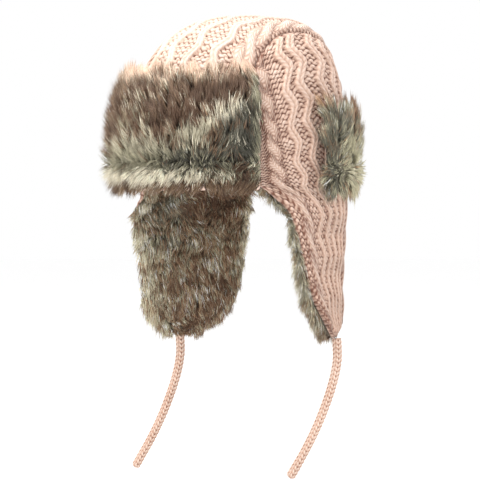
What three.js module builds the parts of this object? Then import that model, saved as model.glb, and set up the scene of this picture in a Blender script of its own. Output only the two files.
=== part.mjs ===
// A cable-knit trapper hat: a crown strip and two side panels that run down into ear flaps,
// fur flaps turned up at the brow and the nape, fur linings in the flaps, and two knitted ties.
// Millimetres. +X is the wearer's left, -Y the brow, +Z up.
// The origin is the middle of the head opening, level with the brow edge.
import * as THREE from "three";

// The crown is a rounded dome on an oval. Its top leans towards the back of the head.
const CROWN = { halfWidth: 92, halfLength: 111, height: 160.5, domePower: 3.1, topLean: 17, leanPower: 5 };
const KNIT = { wall: 4.5, cableRise: 3, ribRise: 2.4, seamGap: 0.25 };
// One zigzag of a rib, its sway to each side, and one crossing of a rope cable.
const STITCH = { zigzag: 39, sway: 3.6, crossing: 27, seamFade: 9 };

// The seam between the crown strip and a side panel: along is 0 at the brow and 1 at the nape.
const SEAM = [
  { along: 0, halfWidth: 76.5 },
  { along: 0.2, halfWidth: 71.5 },
  { along: 0.36, halfWidth: 64 },
  { along: 0.52, halfWidth: 58.5 },
  { along: 0.75, halfWidth: 57 },
  { along: 1, halfWidth: 58.5 },
];
// The seam stretch that arches over a side panel; below it the seam is that panel's upright edge.
const ARCH = { front: 0.2, back: 0.77 };

// The ear flap, a row for each section below the brow edge: its front and back corners in plan,
// how far its middle bows out, and how much higher its corners lie than its middle.
const EAR_FLAP = [
  { depth: 0, frontX: 78, frontY: -60, backX: 60, backY: 85, bow: 20, rise: 0 },
  { depth: 8, frontX: 87, frontY: -51, backX: 60, backY: 85, bow: 18, rise: 0 },
  { depth: 16, frontX: 94, frontY: -45, backX: 60, backY: 84.5, bow: 15, rise: 0 },
  { depth: 30, frontX: 99.5, frontY: -39.5, backX: 60.5, backY: 83, bow: 12, rise: 0 },
  { depth: 50, frontX: 101.5, frontY: -33, backX: 61.5, backY: 80.5, bow: 9, rise: 0 },
  { depth: 70, frontX: 102.5, frontY: -26, backX: 63.5, backY: 76.5, bow: 7, rise: 0 },
  { depth: 94, frontX: 104, frontY: -19, backX: 66.5, backY: 70.5, bow: 5, rise: 0 },
  { depth: 112, frontX: 106.5, frontY: -12.5, backX: 71, backY: 65.5, bow: 4, rise: 2 },
  { depth: 126, frontX: 107, frontY: -4.5, backX: 77, backY: 57.5, bow: 2.5, rise: 6 },
  { depth: 135, frontX: 105, frontY: 3, backX: 84, backY: 47, bow: 2, rise: 8 },
  { depth: 141, frontX: 102, frontY: 13, backX: 92, backY: 36, bow: 1, rise: 7 },
];
const FLAP_RELEASE = 22;

// Raised wales across a panel, as shares of its width: the middle of the wale where the panel starts,
// at a little past half its length, where a side panel crosses the brow edge, and where it ends.
const STRIP_WALES = [
  { kind: "cable", start: 0.075, halfway: 0.075, end: 0.075, half: 0.06, turn: 1 },
  { kind: "rib", start: 0.25, halfway: 0.25, end: 0.25, half: 0.022, turn: -1 },
  { kind: "rib", start: 0.43, halfway: 0.43, end: 0.43, half: 0.022, turn: 1 },
  { kind: "rib", start: 0.6, halfway: 0.6, end: 0.6, half: 0.022, turn: -1 },
  { kind: "rib", start: 0.775, halfway: 0.775, end: 0.775, half: 0.022, turn: 1 },
  { kind: "cable", start: 0.925, halfway: 0.925, end: 0.925, half: 0.06, turn: -1 },
];
const SIDE_WALES = [
  { kind: "cable", start: 0.23, halfway: 0.125, end: 0.075, half: 0.062, turn: 1 },
  { kind: "rib", start: 0.4, halfway: 0.3, end: 0.215, half: 0.022, turn: -1 },
  { kind: "rib", start: 0.465, halfway: 0.425, end: 0.345, half: 0.022, turn: 1 },
  { kind: "rib", start: 0.575, halfway: 0.55, end: 0.47, half: 0.022, turn: -1 },
  { kind: "rib", start: 0.665, halfway: 0.67, end: 0.62, half: 0.022, turn: 1 },
  { kind: "rib", start: 0.77, halfway: 0.785, end: 0.755, half: 0.022, turn: -1 },
  { kind: "cable", start: 0.9, halfway: 0.915, end: 0.91, half: 0.062, turn: -1 },
];

// A turned-up flap stands on the knit: spine is the middle of its knit backing.
const TURN_UP = { spine: 5, backing: 1.4, gap: 0.35, foldRadius: 2.6, tuck: 5 };
const FUR_FABRIC = 1.5;
const VISOR = { reach: 55, bottom: 0, height: 98, pile: 20, lockRows: 5, lockColumns: 14, parting: 0.3 };
const NECK_FLAP = {
  reach: 88,
  sideBottom: -4,
  height: 75,
  pile: 5.5,
  lockRows: 4,
  lockColumns: 16,
  parting: 0.2,
};
const LINING = {
  gap: 0.88,
  tipGap: 1.2,
  inset: 0.02,
  top: 14,
  pile: 15,
  frontSpread: 10,
  backSpread: 3,
  lockRows: 7,
  lockColumns: 8,
};

const TIE = { radius: 4.4, sides: 8, steps: 11, gap: 1, outset: -0.5 };
// A tie's route from the flap tip, seen from straight above its lean: how far out and how far down.
const TIE_ROUTE = [
  { out: 0, down: 0 },
  { out: -0.5, down: 20 },
  { out: 3.5, down: 41 },
  { out: 11, down: 64 },
  { out: 20, down: 86 },
  { out: 30, down: 106 },
  { out: 38.5, down: 121 },
  { out: 44, down: 131 },
];
const TIE_LEAN = 40;

const DEGREE = Math.PI / 180;

const clamp01 = (t) => Math.min(1, Math.max(0, t));
const smooth = (t) => clamp01(t) ** 2 * (3 - 2 * clamp01(t));
const mix = (a, b, t) => a + (b - a) * t;

// Reads a table's column at a place along its key column, on a smooth curve through the rows.
function tableAt(table, key, at, column) {
  let i = table.findIndex((row) => row[key] >= at);
  i = i < 0 ? table.length - 1 : Math.max(i, 1);
  const slope = (k) => {
    const before = table[Math.max(k - 1, 0)];
    const after = table[Math.min(k + 1, table.length - 1)];
    return (after[column] - before[column]) / (after[key] - before[key]);
  };
  const [low, high] = [table[i - 1], table[i]];
  const span = high[key] - low[key];
  const t = clamp01((at - low[key]) / span);
  return (
    low[column] * (1 + 2 * t) * (1 - t) ** 2 +
    slope(i - 1) * span * t * (1 - t) ** 2 +
    high[column] * t * t * (3 - 2 * t) +
    slope(i) * span * t * t * (t - 1)
  );
}

// The dome's side profile, stepped by length: share of the radius left, and share of the height.
const PROFILE_STEPS = 400;
const profile = [{ climb: 0, radius: 1, height: 0 }];
for (let i = 1; i <= PROFILE_STEPS; i++) {
  const angle = (i / PROFILE_STEPS) * (Math.PI / 2);
  const radius = Math.max(Math.cos(angle), 0) ** (2 / CROWN.domePower);
  const height = Math.sin(angle) ** (2 / CROWN.domePower);
  const last = profile[i - 1];
  const out = (radius - last.radius) * CROWN.halfLength;
  const up = (height - last.height) * CROWN.height;
  profile.push({ climb: last.climb + Math.hypot(out, up), radius, height });
}
const CLIMB = profile[PROFILE_STEPS].climb;

function profileAt(key, value, column) {
  let low = 0;
  let high = PROFILE_STEPS;
  while (high - low > 1) {
    const middle = (low + high) >> 1;
    if (profile[middle][key] <= value) low = middle;
    else high = middle;
  }
  const t = clamp01((value - profile[low][key]) / (profile[high][key] - profile[low][key]));
  return mix(profile[low][column], profile[high][column], t);
}

const leanAt = (height) => CROWN.topLean * Math.max(height, 0) ** CROWN.leanPower;

// The crown at a turn from the brow, in radians, and a climb from the brow edge.
// Below that edge the wall is upright.
function crownAt(turn, climb) {
  const radius = climb > 0 ? profileAt("climb", climb, "radius") : 1;
  const height = climb > 0 ? profileAt("climb", climb, "height") : climb / CROWN.height;
  return new THREE.Vector3(
    CROWN.halfWidth * radius * Math.sin(turn),
    -CROWN.halfLength * radius * Math.cos(turn) + leanAt(height),
    CROWN.height * height,
  );
}

// A point moved off the crown by a distance, square to its surface.
function offCrown(point, distance) {
  const [x, lean] = [point.x / CROWN.halfWidth, leanAt(point.z / CROWN.height)];
  const [y, z] = [(point.y - lean) / CROWN.halfLength, Math.max(point.z, 0) / CROWN.height];
  const round = Math.hypot(x, y) ** (CROWN.domePower - 2);
  const leanSlope = z > 0 ? (lean * CROWN.leanPower) / point.z : 0;
  const normal = new THREE.Vector3((round * x) / CROWN.halfWidth, (round * y) / CROWN.halfLength, 0);
  normal.z = z ** (CROWN.domePower - 1) / CROWN.height - normal.y * leanSlope;
  return point.clone().addScaledVector(normal.normalize(), distance);
}

function turnAndClimb(point) {
  const height = Math.max(point.z, 0) / CROWN.height;
  const x = point.x / CROWN.halfWidth;
  const y = -(point.y - leanAt(height)) / CROWN.halfLength;
  const climb = point.z > 0 ? profileAt("height", height, "climb") : point.z;
  return { turn: Math.atan2(x, y), climb };
}

// The crown strip's middle line runs from the brow over the top to the nape.
const STRIP_LENGTH = 2 * CLIMB;

// A point of the crown strip: x across, along from 0 at the brow to 1 at the nape.
function stripAt(x, along) {
  const length = along * STRIP_LENGTH;
  const back = length > CLIMB;
  const climb = back ? STRIP_LENGTH - length : length;
  const side = (x / CROWN.halfWidth) ** 2;
  const radius = profileAt("climb", climb, "radius") * (back ? 1 : -1);
  const height = profileAt("climb", climb, "height");
  let low = 0;
  let high = 1;
  for (let i = 0; i < 40; i++) {
    const k = (low + high) / 2;
    const power = CROWN.domePower;
    const out = (side + (k * radius) ** 2) ** (power / 2) + (k * height) ** power;
    if (out < 1) low = k;
    else high = k;
  }
  const rise = height * low;
  return new THREE.Vector3(x, CROWN.halfLength * radius * low + leanAt(rise), CROWN.height * rise);
}

const seamAt = (along, inset) => stripAt(tableAt(SEAM, "along", along, "halfWidth") + inset, along);

const BROW_TURN = turnAndClimb(seamAt(0, KNIT.seamGap)).turn;
const NAPE_TURN = turnAndClimb(seamAt(1, KNIT.seamGap)).turn;

// The part of a side panel above the brow edge, filled in between its seam and that edge.
function sideCrownAt(across, down) {
  const edge = (along) => turnAndClimb(seamAt(along, KNIT.seamGap));
  const top = edge(mix(ARCH.front, ARCH.back, across));
  const bottom = { turn: mix(BROW_TURN, NAPE_TURN, across), climb: 0 };
  const front = edge(mix(ARCH.front, 0, down));
  const back = edge(mix(ARCH.back, 1, down));
  const corners = [edge(ARCH.front), edge(ARCH.back)];
  const blend = (key) =>
    mix(top[key], bottom[key], down) +
    mix(front[key], back[key], across) -
    mix(
      mix(corners[0][key], corners[1][key], across),
      mix(BROW_TURN * (key === "turn"), NAPE_TURN * (key === "turn"), across),
      down,
    );
  return crownAt(blend("turn"), blend("climb"));
}

// The part of a side panel below the brow edge.
function earFlapAt(across, depth) {
  const value = (column) => tableAt(EAR_FLAP, "depth", depth, column);
  const front = new THREE.Vector3(value("frontX"), value("frontY"), 0);
  const back = new THREE.Vector3(value("backX"), value("backY"), 0);
  const chord = back.clone().sub(front);
  const outward = new THREE.Vector3(chord.y, -chord.x, 0).normalize();
  const bow = 4 * across * (1 - across) * value("bow");
  const free = front.clone().lerp(back, across).addScaledVector(outward, bow);
  free.z = -depth + value("rise") * (2 * across - 1) ** 2;
  const turns = [front, back].map((corner) => turnAndClimb(corner).turn);
  const wall = crownAt(mix(...turns, across), -depth);
  return wall.lerp(free, smooth(depth / FLAP_RELEASE));
}

const FLAP_DEPTH = EAR_FLAP[EAR_FLAP.length - 1].depth;
const SIDE_SPLIT = 0.54;

// Which way the ear flap faces. Towards the tip, where its rows close in, it faces as its middle does.
function earFlapNormal(across, depth) {
  const [step, deep] = [1e-3, Math.min(depth, FLAP_DEPTH - 0.1)];
  const normalAt = (at, reach) => {
    const alongDepth = earFlapAt(at, deep + 0.1).sub(earFlapAt(at, deep));
    const alongAcross = earFlapAt(at + reach, depth).sub(earFlapAt(at - reach, depth));
    return alongDepth.cross(alongAcross).normalize();
  };
  return normalAt(across, step).lerp(normalAt(0.5, 0.5), smooth((depth - 60) / 30)).normalize();
}

// A side panel: across from the front seam to the back one, down from the arch to the flap's tip,
// and moved outwards by a distance.
function sideAt(across, down, distance) {
  if (down <= SIDE_SPLIT) return offCrown(sideCrownAt(across, down / SIDE_SPLIT), distance);
  const depth = (FLAP_DEPTH * (down - SIDE_SPLIT)) / (1 - SIDE_SPLIT);
  return earFlapAt(across, depth).addScaledVector(earFlapNormal(across, depth), distance);
}

// A closed wall over a patch. columns and rows are the outer face's grid. face(column, row) is a point of
// that face, and back(column, row) the one behind it, kept only at every coarse-th line of the grid.
function wallGeometry({ columns, rows, face, back, coarse = 2 }) {
  const every = (count) => {
    const kept = [];
    for (let i = 0; i < count - 1; i += coarse) kept.push(i);
    return [...kept, count - 1];
  };
  const [insideColumns, insideRows] = [every(columns), every(rows)];
  const points = [];
  const outer = (i, j) => j * columns + i;
  const inner = (i, j) => columns * rows + j * insideColumns.length + i;
  for (let j = 0; j < rows; j++) {
    for (let i = 0; i < columns; i++) points.push(face(i, j));
  }
  for (const j of insideRows) {
    for (const i of insideColumns) points.push(back(i, j));
  }
  const faces = [];
  for (let j = 0; j < rows - 1; j++) {
    for (let i = 0; i < columns - 1; i++) {
      const [a, b, c, d] = [outer(i, j), outer(i + 1, j), outer(i + 1, j + 1), outer(i, j + 1)];
      if ((i + j) % 2) faces.push(a, b, c, a, c, d);
      else faces.push(a, b, d, b, c, d);
    }
  }
  for (let j = 0; j < insideRows.length - 1; j++) {
    for (let i = 0; i < insideColumns.length - 1; i++) {
      const [a, b, c, d] = [inner(i, j), inner(i + 1, j), inner(i + 1, j + 1), inner(i, j + 1)];
      faces.push(a, c, b, a, d, c);
    }
  }
  const rim = [];
  const [lastColumn, lastRow] = [insideColumns.length - 1, insideRows.length - 1];
  for (let i = 0; i < lastColumn; i++) rim.push([insideColumns[i], 0, i, 0]);
  for (let j = 0; j < lastRow; j++) rim.push([columns - 1, insideRows[j], lastColumn, j]);
  for (let i = lastColumn; i > 0; i--) rim.push([insideColumns[i], rows - 1, i, lastRow]);
  for (let j = lastRow; j > 0; j--) rim.push([0, insideRows[j], 0, j]);
  rim.forEach(([i, j, coarseI, coarseJ], k) => {
    const [nextI, nextJ, nextCoarseI, nextCoarseJ] = rim[(k + 1) % rim.length];
    const stepI = Math.sign(nextI - i);
    const stepJ = Math.sign(nextJ - j);
    const corner = inner(coarseI, coarseJ);
    while (i !== nextI || j !== nextJ) {
      faces.push(outer(i + stepI, j + stepJ), outer(i, j), corner);
      i += stepI;
      j += stepJ;
    }
    faces.push(corner, inner(nextCoarseI, nextCoarseJ), outer(nextI, nextJ));
  });
  return closedGeometry(points, faces);
}

// A geometry from points and faces, turned so that the faces point out.
function closedGeometry(points, faces) {
  let volume = 0;
  for (let k = 0; k < faces.length; k += 3) {
    const [a, b, c] = [points[faces[k]], points[faces[k + 1]], points[faces[k + 2]]];
    volume += a.dot(b.clone().cross(c));
  }
  if (volume < 0) {
    for (let k = 0; k < faces.length; k += 3) [faces[k + 1], faces[k + 2]] = [faces[k + 2], faces[k + 1]];
  }
  const geometry = new THREE.BufferGeometry().setFromPoints(points);
  geometry.setIndex(faces);
  geometry.computeVertexNormals();
  return geometry;
}

// The grid columns that a panel's wales need: each has a place, a sway and a rise along the panel.
// A place has a share of the width where the panel starts, halfway along it and where it ends.
// A plain column goes between two that are further apart than the widest column.
const WIDEST_COLUMN = 0.09;
const edgeColumn = (at) => ({ place: [at, at, at], rise: () => 0 });
function waleColumns(wales) {
  const columns = [edgeColumn(0)];
  for (const { kind, start, halfway, end, half, turn } of wales) {
    const beside = (side) => [start, halfway, end].map((at) => at + side * half);
    if (kind === "rib") {
      const sway = (length) => turn * STITCH.sway * zigzag(length / STITCH.zigzag);
      for (const side of [-1, 0, 1]) {
        columns.push({ place: beside(side), sway, rise: () => (side ? 0 : KNIT.ribRise) });
      }
    } else {
      const strand = (side) => (length) => {
        const over = Math.cos((2 * Math.PI * length) / STITCH.crossing);
        return KNIT.cableRise * (side ? 0.68 + 0.32 * side * turn * over : 0.66);
      };
      for (const side of [-1, 0, 1]) columns.push({ place: beside(side / 2), rise: strand(side) });
      columns.push({ place: beside(start < 0.5 ? 1 : -1), rise: () => 0 });
    }
  }
  columns.push(edgeColumn(1));
  columns.sort((a, b) => a.place[1] - b.place[1]);
  const between = [];
  columns.slice(1).forEach(({ place }, i) => {
    const before = columns[i].place;
    const middle = place.map((at, k) => (at + before[k]) / 2);
    if (place[1] - before[1] > WIDEST_COLUMN) between.push({ place: middle, rise: () => 0 });
  });
  return [...columns, ...between].sort((a, b) => a.place[1] - b.place[1]);
}

// The share of the width that a column has at a share of the panel's length.
function columnAt({ place: [start, halfway, end] }, v) {
  const t = smooth(v / SIDE_SPLIT);
  return v < SIDE_SPLIT ? mix(start, halfway, t) : mix(halfway, end, (v - SIDE_SPLIT) / (1 - SIDE_SPLIT));
}

// A triangle wave between -1 and 1.
const zigzag = (t) => 4 * Math.abs(t - Math.floor(t + 0.5)) - 1;

// A knit panel of a given length and usual width, with its wales raised from the surface.
function knitPanel({ surface, wales, length, width, rows }) {
  const columns = waleColumns(wales);
  const fadeAt = (v) => smooth((Math.min(v, 1 - v) * length) / STITCH.seamFade);
  return wallGeometry({
    columns: columns.length,
    rows,
    face: (i, j) => {
      const { sway, rise } = columns[i];
      const v = j / (rows - 1);
      const shift = sway ? sway(v * length) / width : 0;
      return surface(columnAt(columns[i], v) + shift * fadeAt(v), v, rise(v * length) * fadeAt(v));
    },
    back: (i, j) => surface(columnAt(columns[i], j / (rows - 1)), j / (rows - 1), -KNIT.wall),
  });
}

const crownStrip = knitPanel({
  surface: (across, along, distance) => {
    const halfWidth = tableAt(SEAM, "along", along, "halfWidth") - KNIT.seamGap;
    return offCrown(stripAt((2 * across - 1) * halfWidth, along), distance);
  },
  wales: STRIP_WALES,
  length: STRIP_LENGTH,
  width: 2 * SEAM[2].halfWidth,
  rows: 47,
});
const sidePanel = knitPanel({ surface: sideAt, wales: SIDE_WALES, length: 312, width: 150, rows: 32 });

// The middle of a turned-up flap's backing, as offset from the crown and height above the flap's bottom,
// and the angle that its face looks up from straight down. length runs from the end that is tucked under
// the knit edge, round the fold, and up. Where tuck is 0 the backing starts straight at its bottom.
const FOLD_BEND = (Math.PI / 2) * TURN_UP.foldRadius;
const FOLD_END = TURN_UP.tuck + FOLD_BEND;
function turnUpSpine(length, tuck) {
  const { spine, foldRadius } = TURN_UP;
  const bend = clamp01((length - TURN_UP.tuck) / FOLD_BEND) * (Math.PI / 2);
  const out = spine - foldRadius * (1 - Math.sin(bend)) - Math.max(TURN_UP.tuck - length, 0);
  const up = Math.max(length - FOLD_END, 0) - foldRadius * Math.cos(bend);
  const straight = (foldRadius * (length - FOLD_END)) / FOLD_END;
  return {
    out: mix(spine, out, tuck),
    up: up > 0 ? up : mix(straight, up, tuck),
    look: mix(Math.PI / 2, bend, tuck),
  };
}

// A point of a turned-up flap at a share of its reach to either side, a length along its spine,
// and a distance out from the spine.
function turnUpAt({ flap, middle, bottomAt, tuckAt }, across, length, distance) {
  const swing = (2 * across - 1) * flap.reach;
  const { out, up, look } = turnUpSpine(length, tuckAt(swing));
  const z = bottomAt(swing) + up - distance * Math.cos(look);
  const climb = z > 0 ? profileAt("height", z / CROWN.height, "climb") : z;
  return offCrown(crownAt((middle + swing) * DEGREE, climb), out + distance * Math.sin(look));
}

// A turned-up flap's plain knit backing: short rows round the fold, then long ones up,
// with its lines where the fabric under the fur has them.
function backing(fold) {
  const { height, lockRows, lockColumns } = fold.flap;
  const stops = [0, TURN_UP.tuck, TURN_UP.tuck + FOLD_BEND / 3, FOLD_END - FOLD_BEND / 3, FOLD_END];
  for (let k = 1; k <= lockRows; k++) stops.push(FOLD_END + (height * k) / lockRows);
  const at = (distance) => (i, j) => turnUpAt(fold, i / lockColumns, stops[j], distance);
  return wallGeometry({
    columns: lockColumns + 1,
    rows: stops.length,
    face: at(TURN_UP.backing),
    back: at(-TURN_UP.backing),
    coarse: 1,
  });
}

// Fur on a fabric backing: rows of locks that overlap like shingles. From the parting up the tips point up,
// and below it they point down. The first and the last row spill past the fabric by the given heights.
// surface takes the place across, the place along, and the depth from the surface that the fabric lies on.
function furWall({ surface, rows, columns, parting, pileAt, spill }) {
  const places = [{ v: 0, tip: parting > 0, row: 0 }];
  for (let k = 0; k < rows; k++) {
    const [low, high] = [k / rows, (k + 1) / rows];
    const down = (low + high) / 2 < parting;
    places.push({ v: mix(low, high, down ? 0.25 : 0.75), tip: true, row: k });
    places.push({ v: high, tip: k === rows - 1, row: k });
  }
  const [lastColumn, lastPlace] = [2 * columns, places.length - 1];
  return wallGeometry({
    columns: lastColumn + 1,
    rows: places.length,
    face: (i, j) => {
      const { v, tip, row } = places[j];
      const [u, ridge] = [i / lastColumn, (i + row) % 2 === 1];
      const edge = i === 0 || i === lastColumn || j === 0 || j === lastPlace;
      const height = (tip ? (ridge ? 1 : 0.74) : ridge ? 0.76 : 0.66) * (edge ? 0.5 : 1);
      const point = surface(u, v, FUR_FABRIC + pileAt(u, v) * height);
      if (j === 0) point.z += spill.first * (ridge ? 1 : 0.3);
      if (j === lastPlace) point.z += spill.last * (ridge ? 1 : 0.3);
      return point;
    },
    back: (i, j) => surface(i / lastColumn, places[j].v, 0),
  });
}

// The fur on a turned-up flap stands on the upright part of its backing.
function turnUpFur(fold, pileAt, spill) {
  const { flap } = fold;
  return furWall({
    surface: (u, v, depth) => {
      const start = TURN_UP.backing + TURN_UP.gap;
      return turnUpAt({ ...fold, tuckAt: () => 1 }, u, FOLD_END + v * flap.height, start + depth);
    },
    rows: flap.lockRows,
    columns: flap.lockColumns,
    parting: flap.parting,
    pileAt,
    spill,
  });
}

const visorFold = { flap: VISOR, middle: 0, bottomAt: () => VISOR.bottom, tuckAt: () => 1 };
const visorPile = (u, v) => VISOR.pile * mix(0.4, 1, smooth(v / 0.25)) * mix(0.6, 1, smooth((1 - v) / 0.3));

// The neck flap is folded under only between the ear flaps, and lies on the side panels beyond them.
const NAPE_REACH = 180 - NAPE_TURN / DEGREE;
const neckFold = {
  flap: NECK_FLAP,
  middle: 180,
  bottomAt: (swing) => mix(NECK_FLAP.sideBottom, 0, smooth((NAPE_REACH + 13 - Math.abs(swing)) / 13)),
  tuckAt: (swing) => smooth((NAPE_REACH - 7 - Math.abs(swing)) / 5),
};
const neckPile = (u, v) => NECK_FLAP.pile * mix(0.4, 1, smooth(Math.min(v, 1 - v) / 0.3));

// The lining on the inner side of an ear flap, from a little above the brow edge to the tip.
// Its pile points straight in, and spreads past the flap's edges.
const FLAP_SHARE = (1 - SIDE_SPLIT) / FLAP_DEPTH;
const earLining = furWall({
  surface: (u, v, depth) => {
    const across = mix(LINING.inset, 1 - LINING.inset, u);
    const down = mix(SIDE_SPLIT - LINING.top * FLAP_SHARE, 1, v);
    const distance = -KNIT.wall - mix(LINING.gap, LINING.tipGap, smooth((v - 0.65) / 0.2));
    const turn = mix(BROW_TURN, NAPE_TURN, across);
    const point =
      down > SIDE_SPLIT
        ? sideAt(across, down, distance)
        : offCrown(crownAt(turn, (SIDE_SPLIT - down) / FLAP_SHARE), distance);
    const flapDown = Math.max(down, SIDE_SPLIT + 0.02);
    const backwards = sideAt(1, flapDown, 0).sub(sideAt(0, flapDown, 0)).normalize();
    const inwards = new THREE.Vector3(-backwards.y, backwards.x, 0);
    const hang = smooth((down - SIDE_SPLIT) / 0.05) * clamp01(depth / FUR_FABRIC);
    const spread = mix(-LINING.frontSpread, LINING.backSpread, u) * hang;
    return point.addScaledVector(inwards, depth).addScaledVector(backwards, spread);
  },
  rows: LINING.lockRows,
  columns: LINING.lockColumns,
  parting: 0,
  pileAt: (u, v) => LINING.pile * mix(0.6, 1, smooth((1 - v) / 0.15)),
  spill: { first: 0, last: -6 },
});

// A knitted tie hanging from a flap's tip and leaning to one side.
function tieGeometry(side) {
  const tip = sideAt(0.5, 1, TIE.outset);
  const across = new THREE.Vector3(-Math.cos(TIE_LEAN * DEGREE), -Math.sin(TIE_LEAN * DEGREE), 0);
  const start = new THREE.Vector3(side * tip.x, tip.y, tip.z - TIE.gap);
  const route = TIE_ROUTE.map(({ out, down }) =>
    start
      .clone()
      .addScaledVector(across, out)
      .add(new THREE.Vector3(0, 0, -down)),
  );
  const section = new THREE.Shape(
    Array.from({ length: TIE.sides }, (_, k) => {
      const angle = (2 * Math.PI * k) / TIE.sides;
      return new THREE.Vector2(TIE.radius * Math.cos(angle), TIE.radius * Math.sin(angle));
    }),
  );
  return new THREE.ExtrudeGeometry(section, {
    steps: TIE.steps,
    bevelEnabled: false,
    extrudePath: new THREE.CatmullRomCurve3(route),
  });
}

const knit = new THREE.MeshStandardMaterial({ color: 0xe0b9a6, roughness: 0.95, metalness: 0 });
const fur = new THREE.MeshStandardMaterial({ color: 0x776a58, roughness: 0.9, metalness: 0 });
const cord = new THREE.MeshStandardMaterial({ color: 0xe6c2b0, roughness: 0.95, metalness: 0 });

const hat = new THREE.Group();
function add(name, geometry, material) {
  const mesh = new THREE.Mesh(geometry, material);
  mesh.name = name;
  hat.add(mesh);
  return mesh;
}

add("crown_strip", crownStrip, knit);
add("visor_backing", backing(visorFold), knit);
add("visor_fur", turnUpFur(visorFold, visorPile, { first: -2, last: 4 }), fur);
add("neck_flap_backing", backing(neckFold), knit);
add("neck_flap_fur", turnUpFur(neckFold, neckPile, { first: -11, last: 7 }), fur);
add("side_panel_left", sidePanel, knit);
add("ear_lining_left", earLining, fur);
add("tie_left", tieGeometry(1), cord);
// The wearer's right side is the left one mirrored, apart from its tie, which leans the same way.
add("side_panel_right", sidePanel, knit).scale.x = -1;
add("ear_lining_right", earLining, fur).scale.x = -1;
add("tie_right", tieGeometry(-1), cord);

export default hat;
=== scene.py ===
import math

import bpy
import numpy as np
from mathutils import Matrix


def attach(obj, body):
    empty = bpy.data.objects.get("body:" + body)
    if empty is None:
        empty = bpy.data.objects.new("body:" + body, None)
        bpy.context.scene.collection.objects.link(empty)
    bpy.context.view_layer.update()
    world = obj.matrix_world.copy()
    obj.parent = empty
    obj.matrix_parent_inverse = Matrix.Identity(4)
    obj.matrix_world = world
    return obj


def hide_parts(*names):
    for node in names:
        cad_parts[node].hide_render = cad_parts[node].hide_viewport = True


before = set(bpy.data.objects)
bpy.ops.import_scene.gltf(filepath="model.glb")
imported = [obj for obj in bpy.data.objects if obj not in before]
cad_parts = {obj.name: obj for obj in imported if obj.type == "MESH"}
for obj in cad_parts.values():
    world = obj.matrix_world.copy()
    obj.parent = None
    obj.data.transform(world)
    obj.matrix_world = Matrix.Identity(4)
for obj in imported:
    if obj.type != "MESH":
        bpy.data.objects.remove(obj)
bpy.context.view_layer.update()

# Camera and the place of the picture's middle, in metres and degrees.
VIEW = {"azimuth": 40, "elevation": 0.5, "distance": 3.0, "lens": 236.8, "middle_z": -0.0504}
FLOOR_Z = -0.2768

# The crown is a rounded dome on an oval. Its top leans towards the back of the head.
HALF_WIDTH, HALF_LENGTH, CROWN_HEIGHT = 0.092, 0.111, 0.1605
DOME_POWER, TOP_LEAN, LEAN_POWER = 3.1, 0.017, 5
WALL, SEAM_GAP = 0.0045, 0.00003

# The seam between the crown strip and a side panel, from the brow over the top to the nape.
SEAM = {
    "along": [0, 0.2, 0.36, 0.52, 0.75, 1],
    "half_width": [0.0765, 0.0715, 0.064, 0.0585, 0.057, 0.0585],
}
ARCH_FRONT, ARCH_BACK = 0.2, 0.77

# The ear flap, a place in each list for each section below the brow edge.
EAR_FLAP = {
    "depth": [0, 0.008, 0.016, 0.03, 0.05, 0.07, 0.094, 0.112, 0.126, 0.135, 0.141],
    "front_x": [0.078, 0.087, 0.094, 0.0995, 0.1015, 0.1025, 0.104, 0.1065, 0.107, 0.105, 0.102],
    "front_y": [-0.06, -0.051, -0.045, -0.0395, -0.033, -0.026, -0.019, -0.0125, -0.0045, 0.003, 0.013],
    "back_x": [0.06, 0.06, 0.06, 0.0605, 0.0615, 0.0635, 0.0665, 0.071, 0.077, 0.084, 0.092],
    "back_y": [0.085, 0.085, 0.0845, 0.083, 0.0805, 0.0765, 0.0705, 0.0655, 0.0575, 0.047, 0.036],
    "bow": [0.02, 0.018, 0.015, 0.012, 0.009, 0.007, 0.005, 0.004, 0.0025, 0.002, 0.001],
    "rise": [0, 0, 0, 0, 0, 0, 0, 0.002, 0.006, 0.008, 0.007],
}
FLAP_DEPTH, FLAP_RELEASE, SIDE_SPLIT = 0.141, 0.022, 0.54

# Raised wales across a panel. Each lies at three shares of the width: where the panel starts, a little past
# half its length, which is where a side panel crosses the brow edge, and where the panel ends.
STRIP_WALES = [
    {"kind": "cable", "at": (0.075, 0.075, 0.075), "turn": 1},
    {"kind": "rib", "at": (0.25, 0.25, 0.25), "turn": -1},
    {"kind": "rib", "at": (0.43, 0.43, 0.43), "turn": 1},
    {"kind": "rib", "at": (0.6, 0.6, 0.6), "turn": -1},
    {"kind": "rib", "at": (0.775, 0.775, 0.775), "turn": 1},
    {"kind": "cable", "at": (0.925, 0.925, 0.925), "turn": -1},
]
SIDE_WALES = [
    {"kind": "cable", "at": (0.23, 0.125, 0.075), "turn": 1},
    {"kind": "rib", "at": (0.4, 0.3, 0.215), "turn": 1},
    {"kind": "rib", "at": (0.465, 0.425, 0.345), "turn": 1},
    {"kind": "rib", "at": (0.575, 0.55, 0.47), "turn": 1},
    {"kind": "rib", "at": (0.665, 0.67, 0.62), "turn": 1},
    {"kind": "rib", "at": (0.77, 0.785, 0.755), "turn": 1},
    {"kind": "cable", "at": (0.9, 0.915, 0.91), "turn": -1},
]
# The strands of a wale: their rise, the stitch columns across half of one, and how deep those are marked.
STRANDS = {
    "rib": {"rise": 0.0036, "columns": 0.5, "contrast": 0.34},
    "cable": {"rise": 0.0034, "columns": 0.85, "contrast": 0.68},
}
# A rib's zigzag there and back, its sway to each side, and how far apart a cable's crossings are.
ZIGZAG, SWAY, CROSSING = 0.039, 0.003, 0.03
# The ground between wales. A panel's relief fades out and sinks a little along its sides and at its ends.
GROUND_RISE = 0.0016
SIDE_FADE, SIDE_SINK = 0.0025, 0.0012
END_FADE, END_SINK = 0.007, 0.001
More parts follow.
